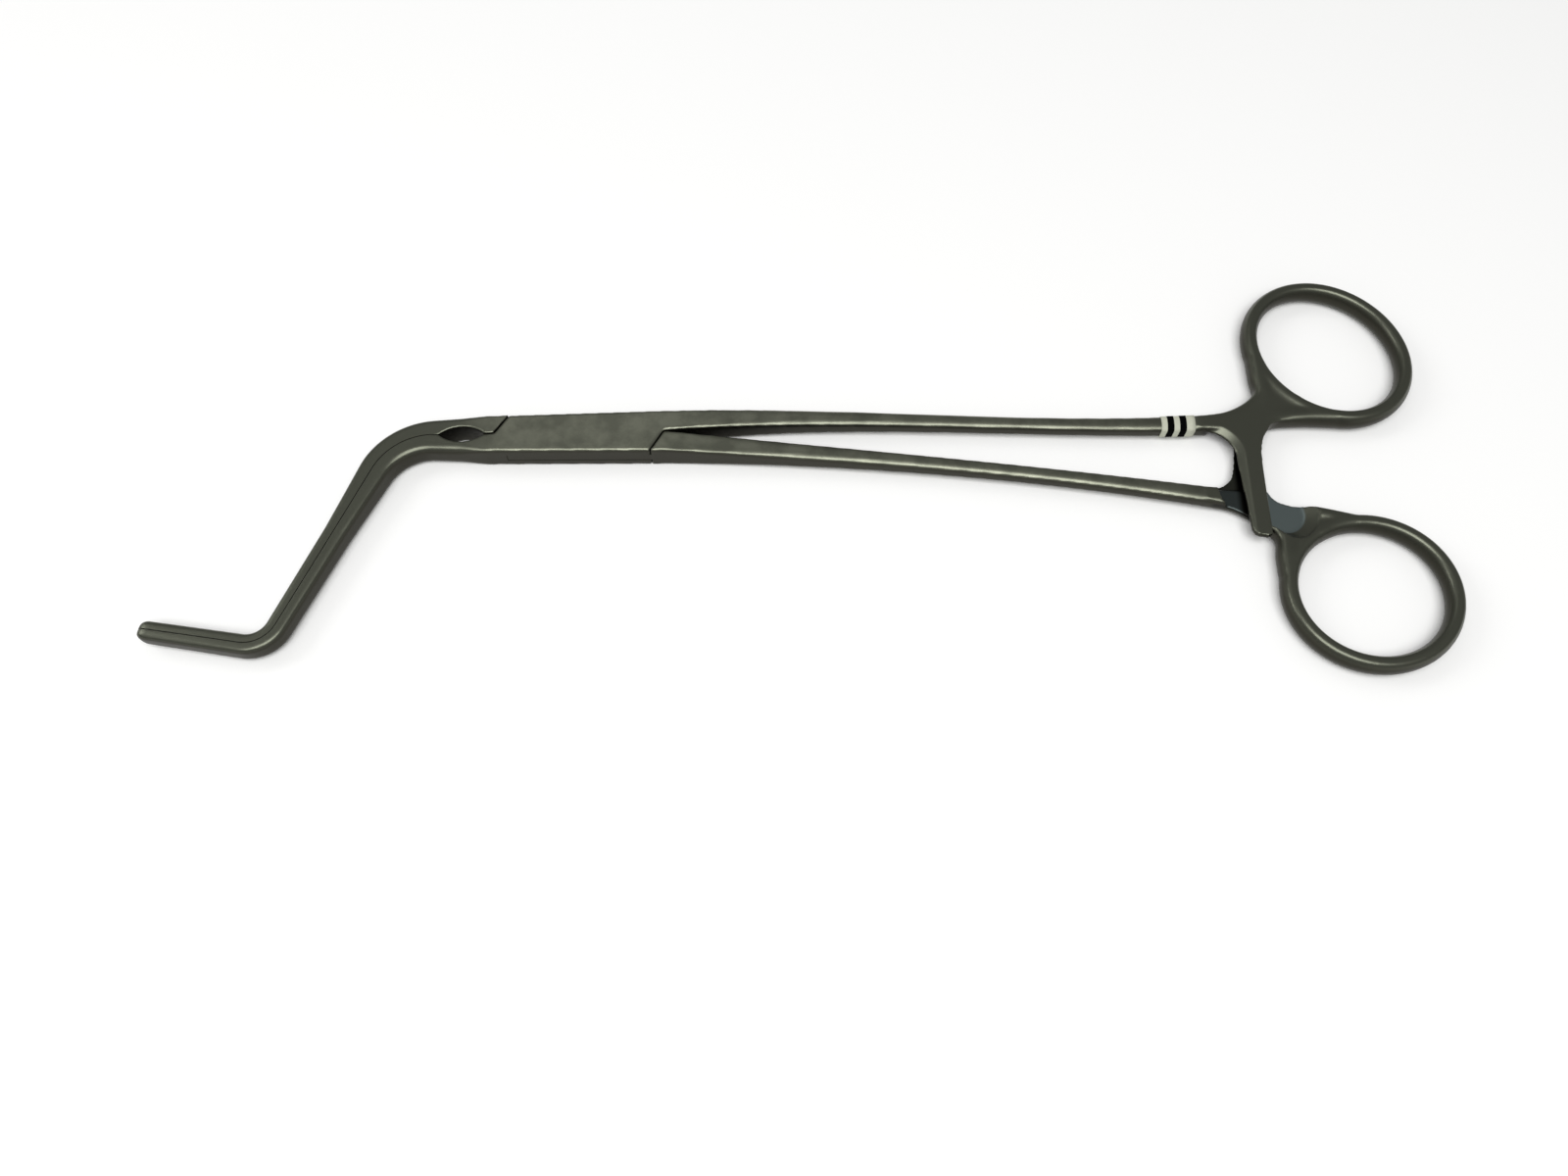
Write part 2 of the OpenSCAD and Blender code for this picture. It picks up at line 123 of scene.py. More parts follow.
CORNER_POINTS = 5
UNDER_POINTS = 3
TOP_POINTS = 5


def bar_section(
    u0: float,
    u1: float,
    z0: float,
    z1: float,
    low_r: float,
    high_r: float,
    crown: float = 0.0,
) -> list[Point]:
    """Section of a bar with rounded corners, anticlockwise from the middle of its underside.

    Args:
        u0: Lower edge across the heading.
        u1: Upper edge across the heading.
        z0: Underside.
        z1: Top.
        low_r: Rounding of the two corners at u0.
        high_r: Rounding of the two corners at u1.
        crown: Rise of the top and fall of the underside at mid-width.

    Returns:
        The section's points as (across, up).
    """
    half = (u1 - u0) / 2
    mid = (u0 + u1) / 2

    def corner(u: float, z: float, r: float, start: float) -> list[Point]:
        angles = [start + 90 * i / (CORNER_POINTS - 1) for i in range(CORNER_POINTS)]
        return [(u + r * way(a).x, z + r * way(a).y) for a in angles]

    def flat(a: float, b: float, z: float, bulge: float, n: int) -> list[Point]:
        us = [mix(a, b, (i + 1) / (n + 1)) for i in range(n)]
        return [(u, z + bulge * (1 - ((u - mid) / half) ** 2)) for u in us]

    return (
        flat(u0 + low_r, u1 - high_r, z0, -crown, UNDER_POINTS)
        + corner(u1 - high_r, z0 + high_r, high_r, -90)
        + [(u1, (z0 + z1) / 2)]
        + corner(u1 - high_r, z1 - high_r, high_r, 0)
        + flat(u1 - high_r, u0 + low_r, z1, crown, TOP_POINTS)
        + corner(u0 + low_r, z1 - low_r, low_r, 90)
        + [(u0, (z0 + z1) / 2)]
        + corner(u0 + low_r, z0 + low_r, low_r, 180)
    )


def ring_section(width: float, depth: float, facet: float, mid_z: float) -> list[Point]:
    """Section of the ring's wire: flat facets over and under, and walls that bulge to a ridge.

    Args:
        width: Width across the two ridges.
        depth: Thickness between the two facets.
        facet: Width of each facet.
        mid_z: Height of the middle.

    Returns:
        As many points as a bar section has, in the same order.
    """
    sag = (width - facet) / 2
    r = ((depth / 2) ** 2 + sag**2) / (2 * sag)
    open_angle = math.degrees(math.asin(depth / 2 / r))

    def wall(sign: float, a0: float, a1: float) -> list[Point]:
        angles = [mix(a0, a1, i / (CORNER_POINTS - 1)) for i in range(CORNER_POINTS)]
        return [
            (sign * (width / 2 - r + r * way(a).x), mid_z + r * way(a).y)
            for a in angles
        ]

    def flat(a: float, b: float, z: float, n: int) -> list[Point]:
        return [(mix(a, b, (i + 1) / (n + 1)), z) for i in range(n)]

    near = 0.12 * open_angle
    return (
        flat(-facet / 2, facet / 2, mid_z - depth / 2, UNDER_POINTS)
        + wall(1, -open_angle, -near)
        + [(width / 2, mid_z)]
        + wall(1, near, open_angle)
        + flat(facet / 2, -facet / 2, mid_z + depth / 2, TOP_POINTS)
        + wall(-1, open_angle, near)
        + [(-width / 2, mid_z)]
        + wall(-1, -near, -open_angle)
    )


def morph(a: Sequence[Point], b: Sequence[Point], f: float) -> list[Point]:
    """The section a share f of the way from a to b, point by point."""
    return [(mix(p[0], q[0], f), mix(p[1], q[1], f)) for p, q in zip(a, b)]


def placed(point: Vector, heading: float, section: Iterable[Point]) -> list[Vector]:
    """A section set up across a heading at a point of the plan."""
    across = way(heading + 90)
    return [Vector((*(point + across * u), z)) for u, z in section]


# ---------------------------------------------------------------- solids


def solid_object(name: str, bm: bmesh.types.BMesh) -> bpy.types.Object:
    """Turns a finished bmesh into an object of the scene."""
    bmesh.ops.recalc_face_normals(bm, faces=bm.faces)
    mesh = bpy.data.meshes.new(name)
    bm.to_mesh(mesh)
    bm.free()
    obj = bpy.data.objects.new(name, mesh)
    bpy.context.scene.collection.objects.link(obj)
    return obj


def loft(
    name: str, stations: Sequence[Sequence[Vector]], closed: bool = False
) -> bpy.types.Object:
    """A skin drawn through sections with equal numbers of points.

    Args:
        name: Name of the new object.
        stations: The sections in order.
        closed: Whether the last section joins the first.

    Returns:
        A closed solid in millimetres.
    """
    bm = bmesh.new()
    loop = bmesh.ops.create_circle(
        bm, cap_ends=False, radius=1, segments=len(stations[0])
    )["verts"]
    for vert, co in zip(loop, stations[0]):
        vert.co = co
    edges = list(bm.edges)
    if not closed:
        bmesh.ops.contextual_create(bm, geom=edges)
    rows = list(stations[1:]) + ([stations[0]] if closed else [])
    for row in rows:
        new = bmesh.ops.extrude_edge_only(bm, edges=edges)["geom"]
        fresh = {v for v in new if isinstance(v, bmesh.types.BMVert)}
        loop = [
            next(e.other_vert(v) for e in v.link_edges if e.other_vert(v) in fresh)
            for v in loop
        ]
        for vert, co in zip(loop, row):
            vert.co = co
        edges = [e for e in new if isinstance(e, bmesh.types.BMEdge)]
    if closed:
        bmesh.ops.remove_doubles(bm, verts=bm.verts, dist=1e-4)
    else:
        bmesh.ops.contextual_create(bm, geom=edges)
    return solid_object(name, bm)


def prism(
    name: str, outline: Sequence[Point], z0: float, z1: float
) -> bpy.types.Object:
    """A flat plate: the outline raised from z0 to z1."""
    bm = bmesh.new()
    corners = [bm.verts.new((x, y, z0)) for x, y in outline]
    face = bm.faces.new(corners)
    raised = bmesh.ops.extrude_face_region(bm, geom=[face])["geom"]
    tops = [v for v in raised if isinstance(v, bmesh.types.BMVert)]
    bmesh.ops.translate(bm, vec=(0, 0, z1 - z0), verts=tops)
    return solid_object(name, bm)


def disc(
    name: str, at: Vector, r: float, z0: float, z1: float, segments: int = 96
) -> bpy.types.Object:
    """An upright cylinder between two heights."""
    return cone(name, at, r, r, z0, z1, segments)


def cone(
    name: str,
    at: Vector,
    r0: float,
    r1: float,
    z0: float,
    z1: float,
    segments: int = 96,
) -> bpy.types.Object:
    """An upright cone between two heights, with radius r0 at z0 and r1 at z1."""
    bm = bmesh.new()
    bmesh.ops.create_cone(
        bm, cap_ends=True, segments=segments, radius1=r0, radius2=r1, depth=z1 - z0
    )
    bmesh.ops.translate(bm, vec=(at.x, at.y, (z0 + z1) / 2), verts=bm.verts)
    return solid_object(name, bm)


def freeze(obj: bpy.types.Object) -> bpy.types.Object:
    """Applies an object's modifiers to its mesh."""
    graph = bpy.context.evaluated_depsgraph_get()
    mesh = bpy.data.meshes.new_from_object(obj.evaluated_get(graph))
    old = obj.data
    obj.modifiers.clear()
    obj.data = mesh
    bpy.data.meshes.remove(old)
    return obj


def combine(
    base: bpy.types.Object, how: Cut, *tools: bpy.types.Object
) -> bpy.types.Object:
    """Joins, cuts or trims a solid with others, which are used up.

    Args:
        base: The solid that is kept.
        how: What is done with each tool.
        *tools: The solids that work on it.

    Returns:
        The base, with its new mesh.
    """
    for tool in tools:
        step = base.modifiers.new("cut", "BOOLEAN")
        step.operation = how.value
        step.solver = "MANIFOLD"
        step.object = tool
    freeze(base)
    for tool in tools:
        mesh = tool.data
        bpy.data.objects.remove(tool)
        bpy.data.meshes.remove(mesh)
    return base


def one_skin(
    obj: bpy.types.Object,
    voxel: float,
    passes: int,
    zone: Optional[Callable[[Vector], bool]] = None,
    zone_passes: int = 0,
) -> bpy.types.Object:
    """Makes one even skin of a forging and softens it, as grinding and tumbling do.

    Args:
        obj: The forging in millimetres.
        voxel: Size of the skin's cells.
        passes: Rounds of light smoothing all over.
        zone: Tells which points are softened further.
        zone_passes: Rounds of smoothing in the zone.

    Returns:
        The same object with its new skin.
    """
    step = obj.modifiers.new("skin", "REMESH")
    step.mode = "VOXEL"
    step.voxel_size = voxel
    step.use_smooth_shade = True
    freeze(obj)
    bm = bmesh.new()
    bm.from_mesh(obj.data)
    chosen = [v for v in bm.verts if zone and zone(v.co)]
    for verts, rounds in ((bm.verts, passes), (chosen, zone_passes)):
        for _ in range(rounds):
            bmesh.ops.smooth_vert(
                bm, verts=verts, factor=0.5, use_axis_x=True, use_axis_y=True, use_axis_z=True
            )
    bm.to_mesh(obj.data)
    bm.free()
    return obj


def into_frame(obj: bpy.types.Object) -> bpy.types.Object:
    """Turns a finished mesh from millimetres to metres, with its place in the mesh."""
    obj.data.transform(Matrix.Scale(MM, 4))
    for face in obj.data.polygons:
        face.use_smooth = True
    return obj


# ---------------------------------------------------------------- colours and nodes


def linear(hex_colour: str) -> tuple[float, float, float, float]:
    """Turns an sRGB hex value to linear red, green, blue and alpha."""
    parts = [int(hex_colour[i : i + 2], 16) / 255 for i in (1, 3, 5)]
    lin = [c / 12.92 if c <= 0.04045 else ((c + 0.055) / 1.055) ** 2.4 for c in parts]
    return (lin[0], lin[1], lin[2], 1.0)


def add_node(
    tree: bpy.types.NodeTree,
    kind: str,
    settings: Optional[dict] = None,
    links: Optional[dict] = None,
) -> bpy.types.Node:
    """Adds a shader node with its settings and links.

    Args:
        tree: The tree it goes into.
        kind: The node's type name.
        settings: Attribute names to values; an "in:" prefix sets an input's value.
        links: Input names or numbers to the output sockets that feed them.

    Returns:
        The new node.
    """
    node = tree.nodes.new(kind)
    for key, value in (settings or {}).items():
        if key.startswith("in:"):
            name = key[3:]
            node.inputs[int(name) if name.isdigit() else name].default_value = value
        else:
            setattr(node, key, value)
    for key, socket in (links or {}).items():
        tree.links.new(socket, node.inputs[key])
    return node


@dataclass(frozen=True)
class ForgedSteel:
    """Satin-ground martensitic stainless steel, a little stained, with a darker tone over the jaws and over the shanks
    by the handles.

    The ground faces carry a fine grain and soft blotches; the walls are painted darker as shade, and left duller.
    """

    name: str = "satin_stainless_steel"
    face: str = "#7c7e70"
    blotch: str = "#686a5e"
    # Painted shade: upright walls are coloured this darker grey.
    wall: str = "#3a3932"
    # Darker tone over the jaws and over the shanks by the handles.
    darker_tone: str = "#606257"
    milled: str = "#747f7e"
    # Painted shade: near-black put on the lower arm's face beside and under the upper arm.
    arm_shade: str = "#141412"
    stain: str = "#4f4436"
    roughness: float = 0.34
    wall_roughness: float = 0.42
    grain_mm: float = 0.22
    blotch_mm: float = 5.0
    recess: bool = False
    stains: tuple[tuple[float, float, float], ...] = ()

    def build(self) -> bpy.types.Material:
        """Builds the material's nodes.

        Returns:
            The finished material.
        """
        mat = bpy.data.materials.new(self.name)
        mat.use_nodes = True
        tree = mat.node_tree
        tree.nodes.clear()
        place = add_node(tree, "ShaderNodeTexCoord")
        at = place.outputs["Object"]
        geo = add_node(tree, "ShaderNodeNewGeometry")
        up = add_node(tree, "ShaderNodeSeparateXYZ", links={0: geo.outputs["Normal"]})
        flatness = add_node(
            tree, "ShaderNodeMath", {"operation": "ABSOLUTE"}, {0: up.outputs["Z"]}
        )
        on_wall = add_node(
            tree,
            "ShaderNodeMapRange",
            {"interpolation_type": "SMOOTHSTEP", "in:1": 0.25, "in:2": 0.8, "in:3": 1.0, "in:4": 0.0},
            {0: flatness.outputs[0]},
        )
        blotch = add_node(
            tree,
            "ShaderNodeTexNoise",
            {"in:Scale": 1 / (self.blotch_mm * MM), "in:Detail": 4.0, "in:Roughness": 0.6},
            {"Vector": at},
        )
        grain = add_node(
            tree,
            "ShaderNodeTexNoise",
            {"in:Scale": 1 / (self.grain_mm * MM), "in:Detail": 3.0, "in:Roughness": 0.7},
            {"Vector": at},
        )
        patches = add_node(
            tree, "ShaderNodeMapRange", {"in:1": 0.38, "in:2": 0.62}, {0: blotch.outputs["Fac"]}
        )
        face = add_node(
            tree,
            "ShaderNodeMix",
            {"data_type": "RGBA", "in:6": linear(self.blotch), "in:7": linear(self.face)},
            {0: patches.outputs[0]},
        )
        where = add_node(tree, "ShaderNodeSeparateXYZ", links={0: at})
        # Darker tone over the shanks by the handles and over the jaws, mixed over the face colour.
        handle_zone = add_node(
            tree,
            "ShaderNodeMapRange",
            {"interpolation_type": "SMOOTHSTEP", "in:1": 0.106, "in:2": 0.121, "in:3": 0.0, "in:4": 1.0},
            {0: where.outputs["X"]},
        )
        jaws = add_node(
            tree,
            "ShaderNodeMapRange",
            {"interpolation_type": "SMOOTHSTEP", "in:1": -0.026, "in:2": -0.013, "in:3": 1.0, "in:4": 0.0},
            {0: where.outputs["X"]},
        )
        darker_zones = add_node(
            tree, "ShaderNodeMath", {"operation": "MAXIMUM"}, {0: handle_zone.outputs[0], 1: jaws.outputs[0]}
        )
        zone_colour = add_node(
            tree,
            "ShaderNodeMix",
            {"data_type": "RGBA", "in:7": linear(self.darker_tone)},
            {0: darker_zones.outputs[0], 6: face.outputs[2]},
        )
        # Painted shade: the upright walls take the darker wall colour.
        colour = add_node(
            tree,
            "ShaderNodeMix",
            {"data_type": "RGBA", "in:7": linear(self.wall)},
            {0: on_wall.outputs[0], 6: zone_colour.outputs[2]},
        )
        last = self.milled_floor_and_arm_shade(tree, at, on_wall, colour.outputs[2])
        for x, y, r in self.stains:
            away = add_node(
                tree,
                "ShaderNodeVectorMath",
                {"operation": "DISTANCE", "in:1": (x * MM, y * MM, 0.0045)},
                {0: at},
            )
            spot = add_node(
                tree,
                "ShaderNodeMapRange",
                {"interpolation_type": "SMOOTHSTEP", "in:1": r * MM, "in:2": 0.2 * r * MM, "in:3": 0.0, "in:4": 0.55},
                {0: away.outputs["Value"]},
            )
            patchy = add_node(
                tree, "ShaderNodeMath", {"operation": "MULTIPLY"}, {0: spot.outputs[0], 1: grain.outputs["Fac"]}
            )
            tinted = add_node(
                tree,
                "ShaderNodeMix",
                {"data_type": "RGBA", "in:7": linear(self.stain)},
                {0: patchy.outputs[0], 6: last},
            )
            last = tinted.outputs[2]
        rough = add_node(
            tree,
            "ShaderNodeMapRange",
            {"in:1": 0.3, "in:2": 0.7, "in:3": self.roughness - 0.04, "in:4": self.roughness + 0.05},
            {0: grain.outputs["Fac"]},
        )
        rough_all = add_node(
            tree,
            "ShaderNodeMix",
            {"data_type": "FLOAT", "in:3": self.wall_roughness},
            {0: on_wall.outputs[0], 2: rough.outputs[0]},
        )
        bump = add_node(
            tree,
            "ShaderNodeBump",
            {"in:Strength": 0.22, "in:Distance": 0.00004},
            {"Height": grain.outputs["Fac"]},
        )
        shader = add_node(
            tree,
            "ShaderNodeBsdfPrincipled",
            {"in:Metallic": 1.0},
            {"Base Color": last, "Roughness": rough_all.outputs[0], "Normal": bump.outputs[0]},
        )
        add_node(tree, "ShaderNodeOutputMaterial", links={"Surface": shader.outputs[0]})
        return mat


    def milled_floor_and_arm_shade(
        self,
        tree: bpy.types.NodeTree,
        at: bpy.types.NodeSocket,
        on_wall: bpy.types.Node,
        under: bpy.types.NodeSocket,
    ) -> bpy.types.NodeSocket:
        """Colours the recess floors a cooler grey, and paints the lower arm's face beside and under the other arm
        near-black as shade.
        """
        split = add_node(tree, "ShaderNodeSeparateXYZ", links={0: at})
        height = add_node(tree, "ShaderNodeMath", {"operation": "SUBTRACT", "in:1": 0.0025}, {0: split.outputs["Z"]})
        off = add_node(tree, "ShaderNodeMath", {"operation": "ABSOLUTE"}, {0: height.outputs[0]})
        low = add_node(tree, "ShaderNodeMapRange", {"in:1": 0.00022, "in:2": 0.0004, "in:3": 1.0, "in:4": 0.0}, {0: off.outputs[0]})
        far = add_node(tree, "ShaderNodeMapRange", {"in:1": 0.117, "in:2": 0.118}, {0: split.outputs["X"]})
        flat = add_node(tree, "ShaderNodeMath", {"operation": "SUBTRACT", "in:0": 1.0}, {1: on_wall.outputs[0]})
        both = add_node(tree, "ShaderNodeMath", {"operation": "MULTIPLY"}, {0: low.outputs[0], 1: far.outputs[0]})
        mask = add_node(tree, "ShaderNodeMath", {"operation": "MULTIPLY"}, {0: both.outputs[0], 1: flat.outputs[0]})
        cool = add_node(tree, "ShaderNodeMix", {"data_type": "RGBA", "in:7": linear(self.milled)}, {0: mask.outputs[0], 6: under})
        # Painted shade: near-black on the lower arm's face where the upper arm shades it.
        side = add_node(tree, "ShaderNodeMath", {"operation": "ABSOLUTE"}, {0: split.outputs["Y"]})
        near = add_node(tree, "ShaderNodeMapRange", {"in:1": 0.012, "in:2": 0.014, "in:3": 1.0, "in:4": 0.0}, {0: side.outputs[0]})
        start = add_node(tree, "ShaderNodeMapRange", {"in:1": 0.1222, "in:2": 0.1232, "in:3": 0.7, "in:4": 1.0}, {0: split.outputs["X"]})
        stop = add_node(tree, "ShaderNodeMapRange", {"in:1": 0.1250, "in:2": 0.1262, "in:3": 1.0, "in:4": 0.0}, {0: split.outputs["X"]})
        band = add_node(tree, "ShaderNodeMapRange", {"in:1": 0.00045, "in:2": 0.0006, "in:3": 1.0, "in:4": 0.0}, {0: off.outputs[0]})
        begun = add_node(tree, "ShaderNodeMath", {"operation": "MULTIPLY"}, {0: far.outputs[0], 1: stop.outputs[0]})
        reach = add_node(tree, "ShaderNodeMath", {"operation": "MULTIPLY"}, {0: begun.outputs[0], 1: start.outputs[0]})
        arm_shade_zone = add_node(tree, "ShaderNodeMath", {"operation": "MULTIPLY"}, {0: near.outputs[0], 1: reach.outputs[0]})
        arm_shade_mask = add_node(tree, "ShaderNodeMath", {"operation": "MULTIPLY"}, {0: arm_shade_zone.outputs[0], 1: band.outputs[0]})
        dark = add_node(tree, "ShaderNodeMix", {"data_type": "RGBA", "in:7": linear(self.arm_shade)}, {0: arm_shade_mask.outputs[0], 6: cool.outputs[2]})
        return dark.outputs[2]


@dataclass(frozen=True)
class TapeFilm:
    """Matt vinyl marker tape with a very fine weave-like emboss."""

    name: str
    colour: str
    roughness: float = 0.55
    shine: float = 0.2

    def build(self) -> bpy.types.Material:
        """Builds the tape's material."""
        mat = bpy.data.materials.new(self.name)
        mat.use_nodes = True
        tree = mat.node_tree
        tree.nodes.clear()
        place = add_node(tree, "ShaderNodeTexCoord")
        fleck = add_node(
            tree,
            "ShaderNodeTexNoise",
            {"in:Scale": 1 / (0.6 * MM), "in:Detail": 3.0},
            {"Vector": place.outputs["Object"]},
        )
        base = linear(self.colour)
        dull = tuple(c * 0.82 for c in base[:3]) + (1.0,)
        tint = add_node(
            tree,
            "ShaderNodeMix",
            {"data_type": "RGBA", "in:6": dull, "in:7": base},
            {0: fleck.outputs["Fac"]},
        )
        bump = add_node(
            tree,
            "ShaderNodeBump",
            {"in:Strength": 0.15, "in:Distance": 0.00003},
            {"Height": fleck.outputs["Fac"]},
        )
        shader = add_node(
            tree,
            "ShaderNodeBsdfPrincipled",
            {"in:Roughness": self.roughness, "in:Specular IOR Level": self.shine},
            {"Base Color": tint.outputs[2], "Normal": bump.outputs[0]},
        )
        add_node(tree, "ShaderNodeOutputMaterial", links={"Surface": shader.outputs[0]})
        return mat


# ---------------------------------------------------------------- the clamp's own lines


@dataclass
class BoxLock:
    """The box, its two slanted seams, the tongue through it and the pin."""

    thick: float = 5.0
    jaw_end_w: float = 8.0
    shank_end_w: float = 9.0
    reach: float = 14.6
    slant: float = 2.6
    turn: float = 3.8
    edge_r: float = 0.35
    tongue_t: float = 1.7
    gap: float = 0.08
    pin_d: float = 4.0
    pin_gap: float = 0.04
    face_gap: float = 0.16
    seam_edge_w: float = 0.15
    thin_r: float = 0.07
    side_inset: float = 0.05

    @property
    def mid_z(self) -> float:
        """Height of the clamp's middle plane."""
        return self.thick / 2

    @property
    def jaw_far(self) -> float:
        """Where the jaw seam ends on the far side."""
        return -self.reach + self.slant / 2

    @property
    def jaw_near(self) -> float:
        """Where the jaw seam starts at mid-width."""
        return -self.reach - self.slant / 2

    @property
    def shank_far(self) -> float:
        """Where the shank seam starts at mid-width."""
        return self.reach + self.slant / 2

    @property
    def shank_near(self) -> float:
        """Where the shank seam ends on the near side."""
        return self.reach - self.slant / 2

    def width(self, x: float) -> float:
        """Width of the box at a distance along it."""
        return mix(self.jaw_end_w, self.shank_end_w, (x + self.reach) / (2 * self.reach))

    def seam_edge_x(self, middle: float, side: float) -> float:
        """Where a slanted seam leaves only the tongue half's thin edge at the box's side."""
        return mix(middle, side, 1 - self.seam_edge_w / (self.width(side) / 2 + self.face_gap / 2))

    def station(self, x: float, u0: float, u1: float, r0: float, r1: float) -> list[Vector]:
        """A section of the box between two edges."""
        return placed(way(self.turn) * x, self.turn, bar_section(u0, u1, 0, self.thick, r0, r1))

    def side_w(self, x: float) -> float:
        """Width of the steel on one side of the middle seam."""
        return self.width(x) / 2 - self.face_gap / 2

    def slot_solids(self, shrink: float, height: float) -> bpy.types.Object:
        """The slot's solid, or the tongue's when shrunk by the clearance."""
        z0, z1 = self.mid_z - height / 2, self.mid_z + height / 2
        r = math.hypot(self.shank_near, self.shank_end_w / 2)
        solid = disc("slot", Vector((0, 0)), r - shrink, z0, z1, 160)
        for end in (0, 180):
            heading = self.turn + end
            along, across = way(heading), way(heading + 90)
            top = -shrink - self.face_gap / 2
            corners = [(0, top - 2 * self.reach), (1.6 * self.reach, top - 2 * self.reach), (1.6 * self.reach, top), (0, top)]
            outline = [tuple(along * a + across * b) for a, b in corners]
            combine(solid, Cut.JOIN, prism("side", outline, z0, z1))
        return solid

    def plan(self, reach: float) -> list[Point]:
        """The box's outline, out to a distance from the pin."""
        out = []
        for x, side in ((-reach, 1), (-reach, -1), (reach, -1), (reach, 1)):
            p = way(self.turn) * x + way(self.turn + 90) * (side * (self.width(x) / 2 - self.side_inset))
            out.append((p.x, p.y))
        return out


@dataclass
class JawLine:
    """The middle line of the closed jaws, from the tip to the box, with its two bends."""

    box: BoxLock
    root_l: float = 34.8
    mid_l: float = 45.6
    tip_l: float = 22.9
    bend_1: float = 68.0
    bend_2: float = 78.0
    bend_1_r: float = 11.4
    bend_2_r: float = 5.3
    bend_w: float = 5.4
    mid_w: float = 4.2
    tip_w: float = 3.5
    bend_t: float = 4.4
    mid_t: float = 4.0
    tip_t: float = 3.4
    edge_r: float = 0.85
    root_r: float = 1.3
    nose: float = 1.7
    seam: float = 0.14
    tooth_pitch: float = 0.7
    tooth_h: float = 0.03
    row_w: float = 0.55
    row_space: float = 1.3
    step: float = 0.8

    def rows(self) -> list[tuple[Vector, float, float, float]]:
        """Stations as (point, heading towards the box, distance from the tip, nose fullness)."""
        root = 180 + self.box.turn
        mid = root + self.bend_1
        tip = mid - self.bend_2
        corner_1 = way(root) * self.root_l
        corner_2 = corner_1 + way(mid) * self.mid_l
        end = corner_2 + way(tip) * self.tip_l
        t1 = self.bend_1_r * math.tan(math.radians(self.bend_1 / 2))
        t2 = self.bend_2_r * math.tan(math.radians(self.bend_2 / 2))
        b2_end, b2_start = corner_2 + way(tip) * t2, corner_2 - way(mid) * t2
        b1_end, b1_start = corner_1 + way(mid) * t1, corner_1 - way(root) * t1
        c2 = b2_start + way(mid - 90) * self.bend_2_r
        c1 = b1_start + way(root + 90) * self.bend_1_r
        out: list[tuple[Vector, float]] = []

        def straight(a: Vector, b: Vector, heading: float) -> None:
            n = max(1, round((b - a).length / self.step))
            out.extend((a.lerp(b, i / n), heading) for i in range(n))

        def bend(centre: Vector, r: float, start: float, turn: float, side: float) -> None:
            n = max(4, round(r * math.radians(abs(turn)) / (0.6 * self.step)))
            for i in range(n):
                a = start + turn * i / n
                out.append((centre + way(a + side) * r, a - 180))

        noses = [0, 0.015, 0.06, 0.14, 0.28, 0.46, 0.7]
        out.extend((end - way(tip) * (self.nose * f), tip - 180) for f in noses)
        straight(end - way(tip) * self.nose, b2_end, tip - 180)
        bend(c2, self.bend_2_r, tip, self.bend_2, 90)
        straight(b2_start, b1_end, mid - 180)
        bend(c1, self.bend_1_r, mid, -self.bend_1, -90)
        straight(b1_start, way(self.box.turn) * (self.box.jaw_near - 0.5), self.box.turn)
        rows = []
        s = 0.0
        for i, (p, heading) in enumerate(out):
            s += (p - out[i - 1][0]).length if i else 0.0
            f = min(1.0, s / self.nose)
            rows.append((p, heading, s, 0.3 + 0.7 * math.sqrt(1 - (1 - f) ** 2)))
        return rows

    def station(self, row: tuple[Vector, float, float, float], side: int, total: float) -> list[Vector]:
        """One jaw's section; side is 1 for the outer jaw and -1 for the inner one."""
        p, heading, s, full = row
        bend_s = self.tip_l + self.mid_l - 10
        w = lookup(s, [(0, self.tip_w), (self.tip_l, mix(self.tip_w, self.mid_w, 0.4)),
                       (self.tip_l + self.mid_l / 2, self.mid_w), (bend_s, self.bend_w), (total, self.box.jaw_end_w)])
        t = lookup(s, [(0, self.tip_t), (self.tip_l, mix(self.tip_t, self.mid_t, 0.5)),
                       (self.tip_l + self.mid_l / 2, self.mid_t), (bend_s, self.bend_t), (total, self.box.thick)])
        near_r = self.root_r if side < 0 else self.edge_r
        r = lookup(s, [(0, self.edge_r), (bend_s, self.edge_r), (bend_s + 10, near_r),
                       (total - 5, near_r), (total, self.box.edge_r)]) * full
        w, t = w / 2 * full, t / 2 * full
        face = self.seam / 2 - 0.5 * full * (1 - ease(min(max((s - total + 14) / 8, 0), 1)))
        z = self.box.mid_z
        sharp = 0.06
        section = (
            bar_section(face, w, z - t, z + t, sharp, r)
            if side > 0
            else bar_section(-w, -face, z - t, z + t, r, sharp)
        )
        return placed(p, heading, section)


    def face_cut(self, side: int) -> bpy.types.Object:
        """The cut that leaves a jaw's flat face, run along the whole jaw."""
        rows = self.rows()
        face = self.seam / 2
        u0, u1 = (face - 1.2, face) if side > 0 else (-face, 1.2 - face)
        section = bar_section(u0, u1, -1, self.box.thick + 1, 0.02, 0.02)
        first, heading = rows[0][:2]
        stations = [placed(first - way(heading) * 0.5, heading, section)]
        stations += [placed(row[0], row[1], section) for row in rows if row[2] < rows[-1][2] - 3]
        return loft("face_cut", stations)

